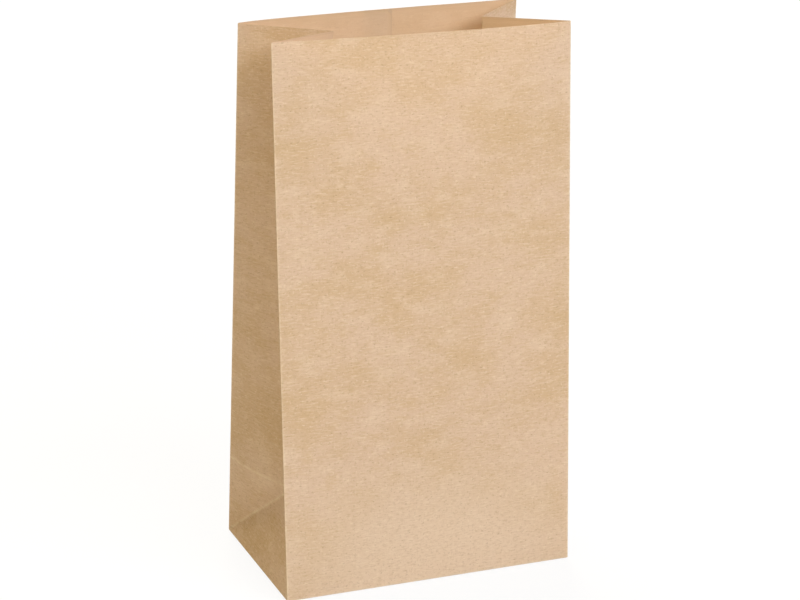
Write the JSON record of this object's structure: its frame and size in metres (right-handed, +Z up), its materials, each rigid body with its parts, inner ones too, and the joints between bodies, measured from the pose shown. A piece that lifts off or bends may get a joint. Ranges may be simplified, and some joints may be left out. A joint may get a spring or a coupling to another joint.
{
  "type": "paper lunch bag",
  "caption": "Plain brown kraft paper lunch bag with side gussets folded inwards and a flat pasted base, standing part open.",
  "frame": {"origin": "middle of the base, on the table it stands on", "axes": "+Z up along the bag's height, +X along the front panel to the right as seen from the front, +Y from the front panel to the back panel"},
  "size_m": [0.15, 0.096, 0.275],
  "materials": {
    "kraft_paper": "matte unbleached kraft paper"
  },
  "bodies": {
    "root": {"paper_bag": "kraft_paper"}
  },
  "joints": []
}
